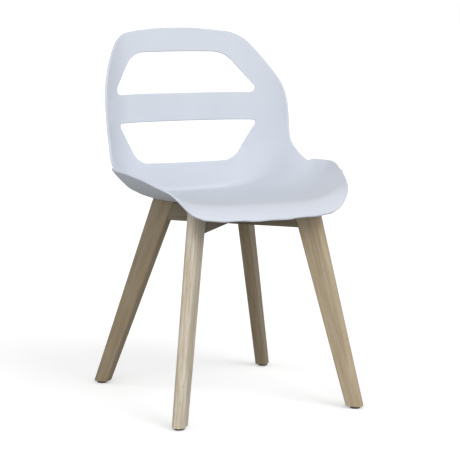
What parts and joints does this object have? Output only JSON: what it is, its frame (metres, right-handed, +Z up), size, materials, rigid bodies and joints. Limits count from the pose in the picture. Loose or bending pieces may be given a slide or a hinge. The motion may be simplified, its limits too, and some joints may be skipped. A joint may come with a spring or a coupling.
{
  "type": "dining chair",
  "caption": "One-piece moulded shell seat with side wings and a slotted back rest, on a crossed timber base with splayed tapered legs.",
  "frame": {"origin": "middle of the chair's bounding box in plan, on the floor the glides stand on", "axes": "+Z up; -Y is the way the sitter faces, so the back rest is at +Y; +X is on the right of someone who faces the back rest"},
  "size_m": [0.5128, 0.5082, 0.802],
  "materials": {
    "shell": "matte moulded polypropylene, white",
    "timber": "limed oiled beech",
    "dowel": "raw beech",
    "glide": "dark grey nylon",
    "spacer": "black rubber",
    "steel": "zinc plated",
    "insert": "turned brass"
  },
  "bodies": {
    "root": {"shell": "shell", "beam_front_right": "timber", "beam_front_left": "timber", "lap_screw": "steel", "leg_front_left": "timber", "dowel_lower_front_left": "dowel", "dowel_upper_front_left": "dowel", "bolt_front_left": "steel", "washer_front_left": "steel", "spacer_front_left": "spacer", "insert_front_left": "insert", "glide_front_left": "glide", "glide_nail_front_left": "steel", "leg_front_right": "timber", "dowel_lower_front_right": "dowel", "dowel_upper_front_right": "dowel", "bolt_front_right": "steel", "washer_front_right": "steel", "spacer_front_right": "spacer", "insert_front_right": "insert", "glide_front_right": "glide", "glide_nail_front_right": "steel", "leg_rear_left": "timber", "dowel_lower_rear_left": "dowel", "dowel_upper_rear_left": "dowel", "bolt_rear_left": "steel", "washer_rear_left": "steel", "spacer_rear_left": "spacer", "insert_rear_left": "insert", "glide_rear_left": "glide", "glide_nail_rear_left": "steel", "leg_rear_right": "timber", "dowel_lower_rear_right": "dowel", "dowel_upper_rear_right": "dowel", "bolt_rear_right": "steel", "washer_rear_right": "steel", "spacer_rear_right": "spacer", "insert_rear_right": "insert", "glide_rear_right": "glide", "glide_nail_rear_right": "steel"}
  },
  "joints": []
}
